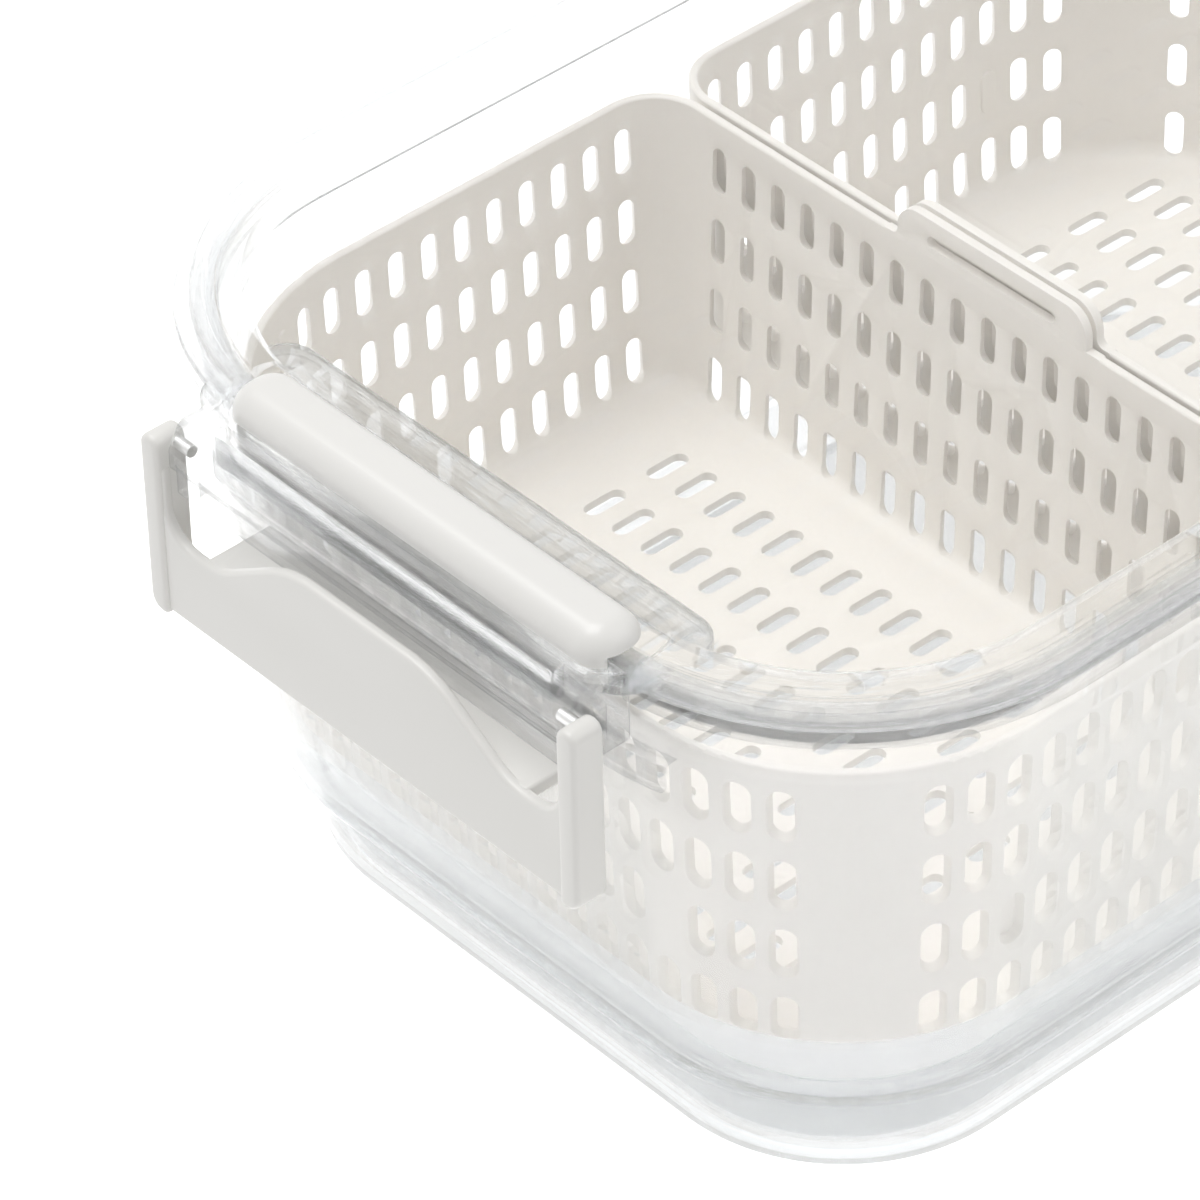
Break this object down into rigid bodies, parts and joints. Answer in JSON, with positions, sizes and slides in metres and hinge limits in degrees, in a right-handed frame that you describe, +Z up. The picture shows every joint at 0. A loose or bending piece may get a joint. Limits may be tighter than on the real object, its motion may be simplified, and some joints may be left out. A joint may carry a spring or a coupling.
{
  "type": "produce keeper",
  "caption": "Clear lidded food container with lift-out colander baskets above a drip reservoir, closed by swing latches with press buttons at its ends.",
  "frame": {"origin": "centre of the underside of the container's foot", "axes": "+Z up, +X along the long side towards the far latch, +Y towards the back long side"},
  "size_m": [0.307, 0.2056, 0.126],
  "materials": {
    "clear_shell": "clear gloss",
    "clear_lid": "clear gloss",
    "seal": "translucent silicone",
    "white_basket": "warm white, soft gloss",
    "white_latch": "warm white, soft gloss",
    "white_button": "warm white, gloss",
    "pin": "ground"
  },
  "bodies": {
    "container": {"container": "clear_shell"},
    "lid": {"lid": "clear_lid", "gasket": "seal", "pin_near_back": "pin", "pin_near_front": "pin", "pin_far_front": "pin", "pin_far_back": "pin"},
    "basket_near": {"basket_near": "white_basket"},
    "basket_far": {"basket_far": "white_basket"},
    "latch_near": {"latch_near": "white_latch"},
    "latch_far": {"latch_far": "white_latch"},
    "button_near": {"button_near": "white_button"},
    "button_far": {"button_far": "white_button"}
  },
  "joints": [
    {"name": "lid_lift", "type": "slide", "parent": "container", "child": "lid", "axis": [0, 0, 1], "range_m": [0, 0.2]},
    {"name": "basket_near_lift", "type": "slide", "parent": "container", "child": "basket_near", "axis": [0, 0, 1], "range_m": [0, 0.1]},
    {"name": "basket_far_lift", "type": "slide", "parent": "container", "child": "basket_far", "axis": [0, 0, 1], "range_m": [0, 0.1]},
    {"name": "latch_near_swing", "type": "hinge", "parent": "lid", "child": "latch_near", "pos_m": [-0.1484, 0, 0.1156], "axis": [0, 1, 0], "range_deg": [0, 110]},
    {"name": "latch_far_swing", "type": "hinge", "parent": "lid", "child": "latch_far", "pos_m": [0.1484, 0, 0.1156], "axis": [0, -1, 0], "range_deg": [0, 110]},
    {"name": "button_near_press", "type": "slide", "parent": "lid", "child": "button_near", "axis": [0, 0, -1], "range_m": [0, 0.0012], "stiffness_N_per_m": 400, "springref_m": -0.003},
    {"name": "button_far_press", "type": "slide", "parent": "lid", "child": "button_far", "axis": [0, 0, -1], "range_m": [0, 0.0012], "stiffness_N_per_m": 400, "springref_m": -0.003}
  ],
  "couplings": [
    {"joint": "basket_near_lift", "follows": "lid_lift", "ratio": 0.5},
    {"joint": "basket_far_lift", "follows": "lid_lift", "ratio": 0.5}
  ]
}
